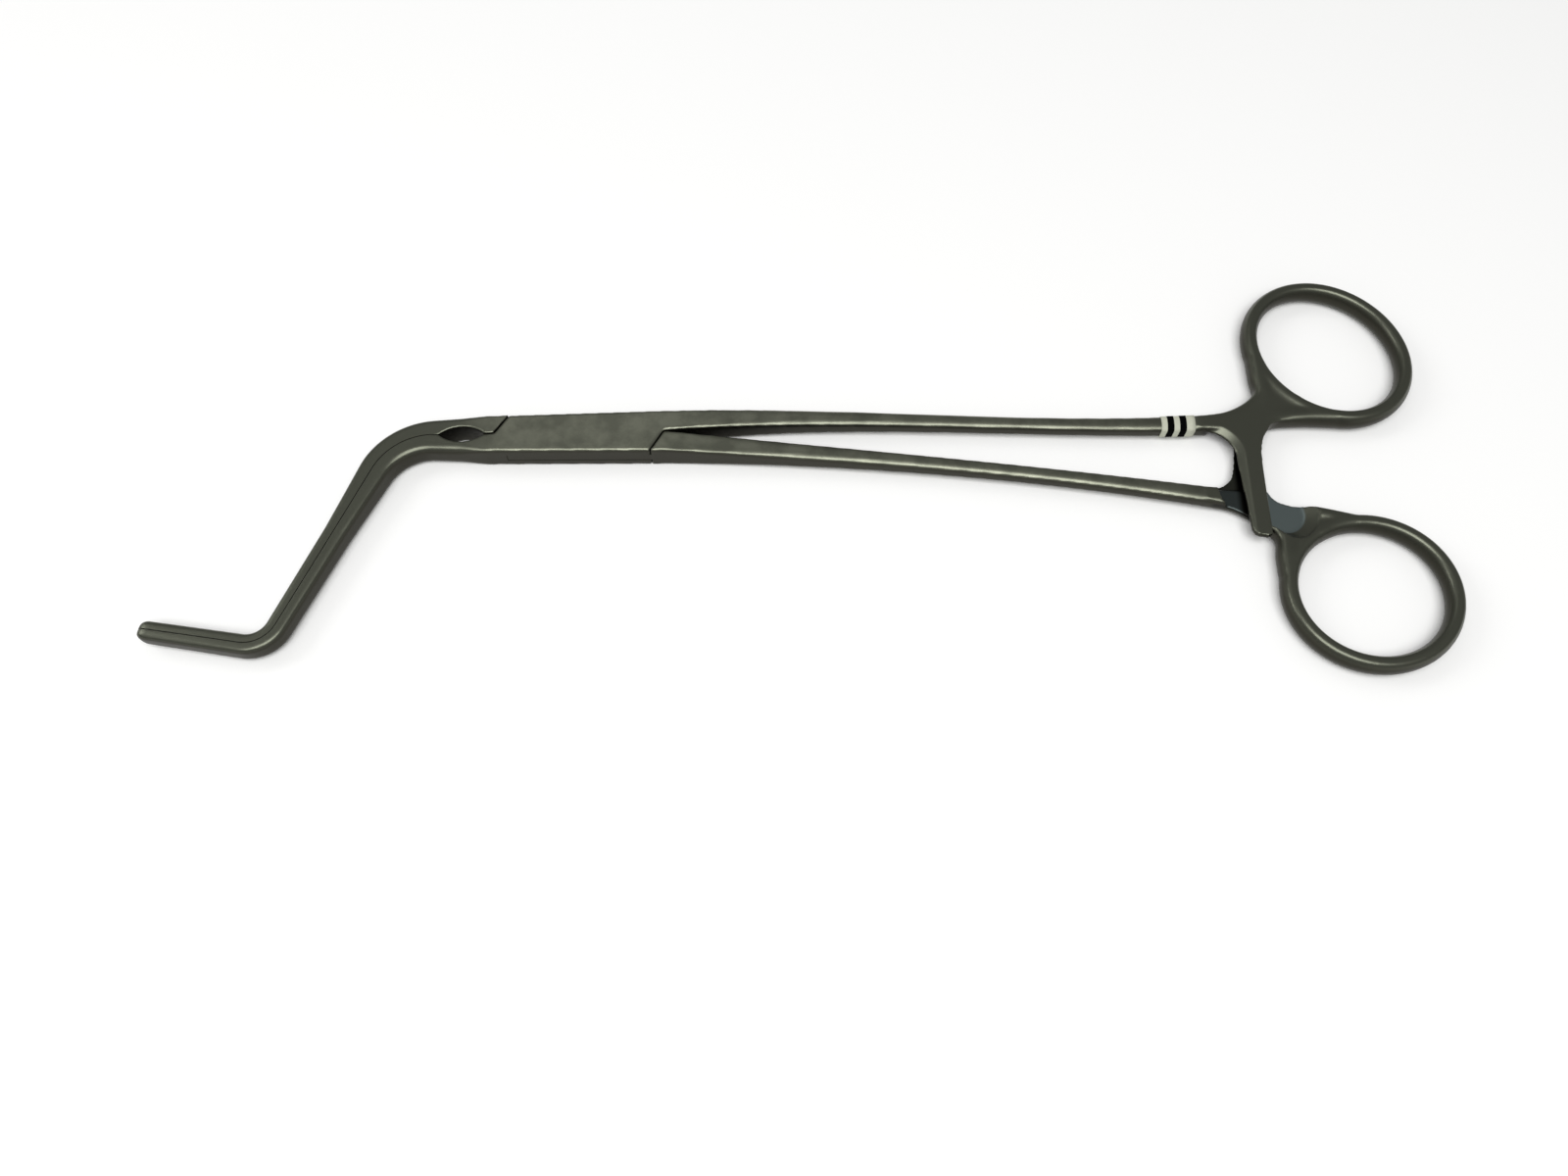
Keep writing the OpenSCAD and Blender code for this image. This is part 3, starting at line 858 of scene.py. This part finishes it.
    def tooth_row(self, side: int, offset: float) -> bpy.types.Object:
        """One row of fine teeth along a jaw's face.

        Args:
            side: 1 for the outer jaw and -1 for the inner one.
            offset: Height of the row over the middle plane.

        Returns:
            The row as one saw-toothed solid, sunk a little into the jaw.
        """
        fine = JawLine(self.box, step=self.tooth_pitch / 2)
        rows = [row for row in fine.rows() if self.nose < row[2] < self.tip_l + self.mid_l - 3]
        face = side * self.seam / 2
        z = self.box.mid_z + offset
        stations = []
        for i, (p, heading, _, _) in enumerate(rows):
            crest = face - side * (0.0 if i % 2 else self.tooth_h)
            sunk = face + side * 0.1
            section = [(sunk, z - self.row_w / 2), (sunk, z + self.row_w / 2), (crest, z + 0.06), (crest, z - 0.06)]
            stations.append(placed(p, heading, section))
        return loft("tooth_row", stations)


@dataclass
class Shank:
    """One shank, from the box to its handle."""

    box: BoxLock
    side: Side
    end_x: float = 117.0
    end_w: float = 3.4
    near_w: float = 2.9
    far_w: float = 2.1
    near_t: float = 2.4
    far_t: float = 2.7
    end_t: float = 2.82
    edge_r: float = 0.45
    crown: float = 0.2

    @property
    def end_y(self) -> float:
        """Offset of the shank where the handle starts, away from the clamp's middle."""
        return 8.2 if self.side is Side.UPPER else 7.5

    def line(self) -> list[float]:
        """The four pulls on the shank's offset."""
        rise = self.box.shank_far * math.tan(math.radians(self.box.turn))
        if self.side is Side.UPPER:
            return [self.box.shank_end_w / 4 + rise, 8.0, 5.2, self.end_y]
        return [rise - self.box.shank_end_w / 4, -1.7, -3.4, -self.end_y]

    def station(self, f: float, grow: float = 0.0) -> list[Vector]:
        """The section a share f of the way along, made larger all round by grow."""
        widths = [self.box.shank_end_w / 2 - self.box.face_gap / 2, self.near_w, self.far_w, self.end_w]
        depths = [self.box.thick, self.near_t, self.far_t, self.end_t]
        w = bezier(widths, f) / 2 + grow
        t = bezier(depths, f) / 2 + grow
        r = mix(self.box.edge_r, self.edge_r, min(1, 3 * f)) + grow
        x = mix(self.box.shank_far, self.end_x, f)
        z = self.box.mid_z
        crown = self.crown * ease(4 * f)
        section = bar_section(-w, w, z - t + crown, z + t - crown, r, r, crown)
        return placed(Vector((x, bezier(self.line(), f))), 0, section)

    def stations(self, steps: int = 70) -> list[list[Vector]]:
        """All the sections, from just past the box to inside the handle."""
        return [self.station(i / steps) for i in range(1, steps + 1)] + [self.station(1.03, -0.1)]


@dataclass
class Handle:
    """Finger ring, web and ratchet arm of one half, drawn for the upper side."""

    box: BoxLock
    end_y: float
    reach: float
    ring_y: float
    ring_long: float
    ring_short: float
    ring_turn: float
    ring_x: float = 143.7
    ring_w: float = 3.1
    ring_t: float = 4.0
    ring_facet: float = 1.3
    web_t: float = 3.02
    shank_l: float = 117.0
    shank_w: float = 3.4
    arm_r: float = 123.1
    arm_w: float = 4.4
    arm_t: float = 1.1
    arm_taper: float = 0.8
    arm_bevel: float = 1.5
    fillet: float = 5.5
    teeth: int = 5
    pitch: float = 1.4
    tooth_depth: float = 0.3
    crest_gap: float = 0.12
    recess_r: float = 4.0
    recess_past: float = 2.4
    recess_up: float = 4.0
    recess_slope: float = 2.4
    long_fillet: bool = False
    root: tuple[Point, ...] = ((0.05, -5.4), (0.4, -3.2), (1.0, -1.2), (2.0, 0.5), (2.9, 1.8), (4.4, 2.4))

    def on_ring(self, f: float) -> Vector:
        """A point of the ring's middle line at its own angle f."""
        a = math.radians(f)
        local = Vector((self.ring_long / 2 * math.cos(a), self.ring_short / 2 * math.sin(a)))
        local.rotate(Matrix.Rotation(math.radians(self.ring_turn), 2))
        return Vector((self.ring_x, self.ring_y)) + local

    def ring(self) -> bpy.types.Object:
        """The closed wire of the ring."""
        section = ring_section(self.ring_w, self.ring_t, self.ring_facet, self.box.mid_z)
        stations = []
        for i in range(120):
            f = 3.0 * i
            a = math.radians(f)
            heading = self.ring_turn + math.degrees(
                math.atan2(self.ring_short * math.cos(a), -self.ring_long * math.sin(a))
            )
            stations.append(placed(self.on_ring(f), heading, section))
        return loft("ring", stations, closed=True)

    def limb(self, name: str, points: Sequence[tuple[float, float, float, float]]) -> bpy.types.Object:
        """A limb of the web along a line of (x, y, width, share of ring section)."""
        n = 40
        knots = [Vector(p) for p in points]
        dense = []
        for i in range(n + 1):
            g = (len(knots) - 1) * i / n
            k = min(int(g), len(knots) - 2)
            a, b = knots[max(k - 1, 0)], knots[k]
            c, d = knots[k + 1], knots[min(k + 2, len(knots) - 1)]
            t = g - k
            dense.append(
                0.5 * (2 * b + (c - a) * t + (2 * a - 5 * b + 4 * c - d) * t * t + (3 * b - a - 3 * c + d) * t**3)
            )
        stations = []
        for i, q in enumerate(dense):
            back, ahead = dense[max(i - 1, 0)], dense[min(i + 1, n)]
            heading = math.degrees(math.atan2(ahead[1] - back[1], ahead[0] - back[0]))
            half, z = q[2] / 2, self.box.mid_z
            bar = bar_section(-half, half, z - self.web_t / 2, z + self.web_t / 2, 0.6, 0.6)
            wire = ring_section(q[2], self.ring_t, self.ring_facet * q[2] / self.ring_w, z)
            stations.append(placed(Vector(q[:2]), heading, morph(bar, wire, ease(q[3]))))
        return loft(name, stations)

    def web(self) -> bpy.types.Object:
        """The flat steel between the shank, the two limbs and the ring."""
        low, high = self.end_y - self.shank_w / 2, self.end_y + self.shank_w / 2
        left = self.on_ring(180 - self.ring_turn).x - self.ring_w / 2
        bottom = self.on_ring(270 - self.ring_turn).y - self.ring_w / 2
        right = self.arm_r + self.arm_w
        arc = [tuple(self.on_ring(275 - 5 * i - self.ring_turn)) for i in range(17)]
        outline = (
            [(self.shank_l - 0.8, low + 0.6), (self.shank_l + 0.8, low + 0.2), (right - 0.6, low + 0.2)]
            + smooth([(right + x, low + y) for x, y in self.root[2:]])
            + [(right + 6.2, bottom - 0.05), (self.ring_x - 7, bottom + 0.25), (self.ring_x - 3, bottom + 0.7)]
            + arc
            + [(left + 1.2, self.ring_y - 5), (left + 1.0, self.ring_y - 8.5), (left + 0.8, self.ring_y - 11.2),
               (left + 0.4, self.ring_y - 12.6), (left - 0.5, self.ring_y - 13.7), (left - 3.2, self.ring_y - 15),
               (mix(self.shank_l, left, 0.35), high + 0.5), (self.shank_l + 0.8, high), (self.shank_l - 0.8, high - 0.6)]
        )
        z = self.box.mid_z
        return prism("web", outline, z - self.web_t / 2, z + self.web_t / 2)

    def arm_heights(self) -> tuple[float, float]:
        """Underside and top of the ratchet arm."""
        top = self.box.mid_z + self.web_t / 2
        return top - self.arm_t, top

    def arm(self) -> bpy.types.Object:
        """The ratchet arm with its bevel."""
        under, top = self.arm_heights()
        low = self.end_y - self.shank_w / 2
        right = self.arm_r + self.arm_w
        centre = Vector((self.arm_r - self.fillet, low - self.fillet))
        if self.long_fillet:
            outline = [(113.5, low + 1.2)]
            outline += smooth([(113.5, low + 0.3), (116.2, low - 0.1), (118.6, low - 0.5), (119.9, low - 0.85),
                               (121.2, low - 1.75), (122.1, low - 3.1), (122.7, low - 5.6), (self.arm_r, low - 8.5)])
        else:
            outline = [(centre.x + 1, low + 1.2)]
            outline += [tuple(centre + way(90 - 6 * i) * self.fillet) for i in range(1, 16)]
        taper = self.arm_taper
        outline += [
            (self.arm_r + taper, 1.6 - self.reach), (self.arm_r + taper + 0.25, 0.9 - self.reach),
            (self.arm_r + taper + 0.7, 0.35 - self.reach), (self.arm_r + taper + 1.4, 0.07 - self.reach),
            (right - 1, -self.reach), (right - 0.45, 0.15 - self.reach), (right - 0.15, 0.5 - self.reach),
            (right - 0.05, 1.2 - self.reach), (right, 0),
        ]
        outline += smooth([(right + x, low + y) for x, y in self.root])
        outline += [(right + 4.4, self.end_y + 1.8), (centre.x + 1, self.end_y + 0.6)]
        arm = prism("arm", outline, under, top)
        foot = under + 0.25
        rise = top - foot + 0.02
        around = cone("bevel", centre, self.fillet, self.fillet + 2 * self.arm_bevel, foot, foot + 2 * rise, 160)
        quarter = prism("quarter", [(centre.x + 0.5, centre.y), (centre.x + 12, centre.y),
                                    (centre.x + 12, centre.y + 12), (centre.x + 0.5, centre.y + 12)], 0, 9)
        combine(around, Cut.COMMON, quarter)
        x, far = self.arm_r, self.arm_r + 2 * self.arm_bevel
        profile = [(x - 2, foot), (x, foot), (far, foot + 2 * rise), (x - 2, foot + 2 * rise)]
        wedge = loft("wedge", [[Vector((px, y, pz)) for px, pz in profile] for y in (centre.y + 0.01, -self.reach - 2)])
        return combine(arm, Cut.REMOVE, around, wedge)

    def tooth_solids(self) -> list[bpy.types.Object]:
        """The ratchet teeth, steep on one side, across the arm's underside."""
        under = self.arm_heights()[0]
        turn = math.degrees(self.pitch / self.arm_r)
        half = self.pitch * 0.48
        out = []
        for i in range(self.teeth):
            a = turn * (i - self.teeth / 2 + 0.5)
            along, across = way(a), way(a + 90)
            profile = [(-half, under + 0.1), (-half, under), (self.pitch * 0.4, under - self.tooth_depth),
                       (half, under), (half, under + 0.1)]
            stations = []
            for r in (self.arm_r + self.arm_taper, self.arm_r + self.arm_w - 0.4):
                stations.append([Vector((*(along * r + across * u), z)) for u, z in profile])
            out.append(loft("tooth", stations))
        return out

    def recess(self) -> bpy.types.Object:
        """The cut that lets the other half's arm pass under this handle."""
        y = self.end_y - 0.9
        near = Vector((self.arm_r - 0.4, y))
        far = Vector((self.arm_r + self.arm_w + self.recess_past, y + self.recess_up))
        floor = self.box.mid_z - self.crest_gap
        stations = []
        for z, slope in ((floor, 0.0), (floor - 1.5, self.recess_slope), (-1.0, self.recess_slope)):
            outline = [Vector((near.x - self.recess_r, -self.arm_w))]
            outline += [near + way(180 - 5 * i) * self.recess_r for i in range(13)]
            outline += [far + way(120 - 5 * i) * (self.recess_r + slope * ease(min(i / 12, 1))) for i in range(31)]
            outline += [Vector((far.x + slope, -self.arm_w))]
            stations.append([Vector((q.x, q.y, z)) for q in outline])
        return loft("recess", stations)

    def build(self) -> list[bpy.types.Object]:
        """Ring, web and limbs as solids that overlap."""
        low_limb = self.limb("low_limb", [
            (118, self.end_y + 0.2, 2.9, 0), (124, self.end_y + 0.7, 3.0, 0), (130, 10.1, 3.0, 0.1),
            (136.5, 10.75, 3.1, 0.75), (143, self.on_ring(268 - self.ring_turn).y, 3.1, 1.0),
        ])
        p = self.on_ring(190 - self.ring_turn)
        high_limb = self.limb("high_limb", [
            (118, self.end_y + 0.2, 2.9, 0), (122.5, self.end_y + 1.2, 3.2, 0), (127, 11.9, 3.4, 0.1),
            (129.7, 15.5, 3.1, 0.5), (129.4, 19.5, 3.1, 0.9), (p.x, p.y, 3.1, 1.0),
        ])
        return [self.ring(), self.web(), low_limb, high_limb]


def turn_over(objects: Iterable[bpy.types.Object], box: BoxLock) -> list[bpy.types.Object]:
    """Turns solids of the upper side over to the lower side."""
    out = list(objects)
    flip = Matrix.Translation((0, 0, box.thick)) @ Matrix.Rotation(math.pi, 4, "X")
    for obj in out:
        obj.data.transform(flip)
    return out


@dataclass
class ClampHalf:
    """One forging of the clamp, from jaw tip to finger ring."""

    side: Side
    box: BoxLock
    jaws: JawLine
    shank: Shank
    handle: Handle
    finish: ForgedSteel
    voxel: float = 0.25
    relief_r: float = 6.5
    relief_x: float = 21.9
    relief_depth: float = 1.6
    passes: int = 1

    def relief(self, side: int) -> bpy.types.Object:
        """The hollow between the jaw roots, cut into the inner jaw (1) or the outer one (-1)."""
        at = way(self.box.turn) * -self.relief_x
        at += way(self.box.turn + 90) * (side * (self.relief_r - self.relief_depth))
        return disc("relief", at, self.relief_r, -1, self.box.thick + 1, 160)

    def bore(self, d: float) -> bpy.types.Object:
        """The pin's bore."""
        return disc("bore", Vector((0, 0)), d / 2, -1, self.box.thick + 1)

    def jaw_stations(self, side: int) -> list[list[Vector]]:
        """The jaw's sections from tip to box."""
        rows = self.jaws.rows()
        return [self.jaws.station(row, side, rows[-1][2]) for row in rows]

    def in_handle(self, co: Vector) -> bool:
        """Whether a point lies where shank, web and ring flow into each other."""
        y = abs(co.y)
        return 117.5 < co.x < 143 and y < 22 and (co.x < 136 or y < 14.5)

    def forged(self, blank: bpy.types.Object) -> bpy.types.Object:
        """The forged blank, with soft transitions at the handle."""
        return one_skin(blank, self.voxel, 1, self.in_handle, 14)

    def machined(self, body: bpy.types.Object) -> bpy.types.Object:
        """The half after milling, with its edges just broken."""
        return one_skin(body, self.voxel, self.passes)

    def female(self) -> bpy.types.Object:
        """Inner jaw, box and upper shank in one bar, with the upper handle."""
        box, handle = self.box, self.handle
        edge, sharp = box.edge_r, 0.05
        stations = self.jaw_stations(-1)
        w = box.width(box.jaw_near) / 2
        stations.append(box.station(box.jaw_near, -w, box.side_w(box.jaw_near) - w, edge, sharp))
        for x in (box.jaw_far, box.jaw_far / 2, 0, box.shank_near / 2, box.shank_near):
            w = box.width(x) / 2
            stations.append(box.station(x, -w, w, edge, edge))
        w = box.width(box.shank_far) / 2
        stations.append(box.station(box.shank_far, w - box.side_w(box.shank_far), w, sharp, edge))
        body = loft("female_half_steel", stations + self.shank.stations())
        self.forged(combine(body, Cut.JOIN, *handle.build()))
        combine(body, Cut.JOIN, handle.arm())
        combine(body, Cut.REMOVE, self.relief(1), handle.recess())
        self.machined(body)
        combine(body, Cut.REMOVE, box.slot_solids(0, box.tongue_t + 2 * box.gap), self.jaws.face_cut(-1))
        rows = [self.jaws.tooth_row(-1, side * self.jaws.row_space / 2) for side in (-1, 1)]
        combine(body, Cut.JOIN, *rows, *handle.tooth_solids())
        return combine(body, Cut.REMOVE, self.bore(box.pin_d + 0.01))

    def male(self) -> bpy.types.Object:
        """Outer jaw, tongue and lower shank in one bar, with the lower handle turned over."""
        box, handle = self.box, self.handle
        edge, sharp = box.edge_r, 0.05
        stations = self.jaw_stations(1)
        root_x, thin_x = box.jaw_near - box.gap, box.seam_edge_x(box.jaw_near, box.jaw_far) - box.gap
        for x, width, r in ((root_x, box.side_w(root_x), edge), (thin_x, box.seam_edge_w, box.thin_r)):
            w = box.width(x) / 2
            stations.append(box.station(x, w - width, w, sharp, r))
        body = loft("male_half_steel", stations)
        stations = []
        root_x, thin_x = box.shank_far + box.gap, box.seam_edge_x(box.shank_far, box.shank_near) + box.gap
        for x, width, r in ((thin_x, box.seam_edge_w, box.thin_r), (root_x, box.side_w(root_x), edge)):
            w = box.width(x) / 2
            stations.append(box.station(x, -w, width - w, r, sharp))
        rear = loft("rear", stations + self.shank.stations())
        self.forged(combine(rear, Cut.JOIN, *turn_over(handle.build(), box)))
        combine(body, Cut.REMOVE, self.relief(-1))
        combine(body, Cut.JOIN, rear, *turn_over([handle.arm()], box))
        combine(body, Cut.REMOVE, *turn_over([handle.recess()], box))
        combine(self.machined(body), Cut.REMOVE, self.jaws.face_cut(1))
        tongue = box.slot_solids(box.gap, box.tongue_t)
        combine(tongue, Cut.COMMON, prism("plan", box.plan(box.reach + 3), -1, box.thick + 1))
        combine(body, Cut.JOIN, tongue, self.jaws.tooth_row(1, 0), *turn_over(handle.tooth_solids(), box))
        return combine(body, Cut.REMOVE, self.bore(box.pin_d + 2 * box.pin_gap))

    def build(self) -> bpy.types.Object:
        """Builds the half, gives it its skin and finish, and lets it replace its CAD node."""
        obj = self.female() if self.side is Side.UPPER else self.male()
        into_frame(obj)
        obj.data.set_sharp_from_angle(angle=math.radians(50))
        obj.data.materials.clear()
        obj.data.materials.append(self.finish.build())
        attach(obj, "female" if self.side is Side.UPPER else "male")
        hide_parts("female_half" if self.side is Side.UPPER else "male_half")
        return obj


@dataclass
class MarkerTape:
    """White tape round the upper shank, with two black bands printed on it."""

    shank: Shank
    x: float = 109.6
    width: float = 6.35
    thick: float = 0.12
    band_w: float = 1.25
    band_space: float = 1.1

    def sleeve(self, name: str, x: float, width: float, inner: float, outer: float) -> bpy.types.Object:
        """A sleeve round the shank from x, between two distances off the steel."""
        start = self.shank.box.shank_far
        span = self.shank.end_x - start
        n = 8
        fs = [(x + width * i / n - start) / span for i in range(n + 1)]
        outside = loft(name, [self.shank.station(f, outer) for f in fs])
        inside = loft("inside", [self.shank.station(f, inner) for f in [fs[0] - 0.01] + fs + [fs[-1] + 0.01]])
        return combine(outside, Cut.REMOVE, inside)

    def build(self) -> list[bpy.types.Object]:
        """Builds the tape and its two bands."""
        white = TapeFilm("white_vinyl_tape", "#c6c8b6").build()
        black = TapeFilm("black_vinyl_band", "#040404", 0.85, 0.03).build()
        parts = [("marker_tape_film", self.x, self.width, 0.0, self.thick, "marker_tape", "tape_white", white)]
        for i, node in enumerate(("tape_band_front", "tape_band_rear")):
            x = self.x + self.band_space + i * (self.band_w + self.band_space)
            parts.append((node + "_film", x, self.band_w, self.thick - 0.03, self.thick + 0.04, node, "tape_black", black))
        out = []
        for name, x, width, inner, outer, node, slot, mat in parts:
            obj = into_frame(self.sleeve(name, x, width, inner, outer))
            obj.data.materials.clear()
            obj.data.materials.append(mat)
            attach(obj, "female")
            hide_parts(node)
            out.append(obj)
        return out


@dataclass
class Studio:
    """Pale floor, soft lights and the camera at the photograph's angle."""

    camera_at: tuple[float, float, float] = (0.0440, -0.1221, 0.1896)
    camera_turn: tuple[float, float, float] = (26.3, 0.0, 2.57)
    lens: float = 27.045
    floor_colour: str = "#fdfdfc"
    world: float = 0.32

    def camera(self) -> None:
        """Sets up the camera."""
        data = bpy.data.cameras.new("camera")
        data.sensor_width = 36
        data.lens = self.lens
        data.clip_start = 0.01
        obj = bpy.data.objects.new("camera", data)
        obj.location = self.camera_at
        obj.rotation_euler = [math.radians(a) for a in self.camera_turn]
        bpy.context.scene.collection.objects.link(obj)
        bpy.context.scene.camera = obj

    def floor(self) -> None:
        """Lays the floor that the clamp rests on."""
        bm = bmesh.new()
        bmesh.ops.create_grid(bm, x_segments=1, y_segments=1, size=3.0)
        obj = solid_object("floor", bm)
        mat = bpy.data.materials.new("matt_white_floor")
        mat.use_nodes = True
        tree = mat.node_tree
        tree.nodes.clear()
        shader = add_node(tree, "ShaderNodeBsdfDiffuse", {"in:Color": linear(self.floor_colour)})
        add_node(tree, "ShaderNodeOutputMaterial", links={"Surface": shader.outputs[0]})
        obj.data.materials.append(mat)

    def light(self, name: str, at: Sequence[float], size: Point, power: float, aim: Sequence[float]) -> None:
        """Adds one soft rectangular lamp that looks at a point."""
        data = bpy.data.lights.new(name, "AREA")
        data.shape = "RECTANGLE"
        data.size, data.size_y = size
        data.energy = power
        obj = bpy.data.objects.new(name, data)
        obj.location = at
        obj.rotation_euler = (Vector(aim) - Vector(at)).to_track_quat("-Z", "Y").to_euler()
        bpy.context.scene.collection.objects.link(obj)

    def build(self) -> None:
        """Builds the whole studio."""
        self.camera()
        self.floor()
        world = bpy.data.worlds.new("studio")
        world.use_nodes = True
        world.node_tree.nodes["Background"].inputs["Color"].default_value = (1, 1, 1, 1)
        world.node_tree.nodes["Background"].inputs["Strength"].default_value = self.world
        bpy.context.scene.world = world
        self.light("key", (0.04, -0.35, 0.9), (0.9, 0.6), 7.5, (0.04, 0, 0))
        self.light("back", (-0.13, 0.46, 0.66), (0.3, 0.2), 0.15, (0.01, 0, 0))
        self.light("left", (-0.75, 0.15, 0.55), (0.4, 0.4), 1.5, (0.06, 0, 0))
        bpy.context.scene.view_settings.view_transform = "Standard"


def main() -> None:
    """Builds the clamp and the studio, and logs each piece."""
    logging.basicConfig(level=logging.INFO, format="%(name)s: %(message)s")
    box = BoxLock()
    jaws = JawLine(box)
    steel = ForgedSteel()
    upper = Shank(box, Side.UPPER)
    lower = Shank(box, Side.LOWER)
    halves = [
        ClampHalf(Side.UPPER, box, jaws, upper,
                  Handle(box, upper.end_y, 16.0, 26.2, 31.6, 28.5, 120, recess_past=-3.2, recess_up=-1.2), steel),
        ClampHalf(Side.LOWER, box, jaws, lower,
                  Handle(box, lower.end_y, 8.6, 26.0, 29.4, 27.6, 154, long_fillet=True,
                         root=((0.05, -4.0), (0.15, -2.0), (0.5, -0.2), (1.2, 1.3), (2.3, 2.3), (4.2, 2.9))), steel),
    ]
    for half in halves:
        obj = half.build()
        LOG.info("%s: %d faces", obj.name, len(obj.data.polygons))
    for obj in MarkerTape(upper).build():
        LOG.info("%s: %d faces", obj.name, len(obj.data.polygons))
    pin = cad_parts["lock_pin"]
    pin.data.materials.clear()
    pin.data.materials.append(steel.build())
    Studio().build()
    bpy.context.scene.view_settings.view_transform = "Standard"


if __name__ == "__main__":
    main()
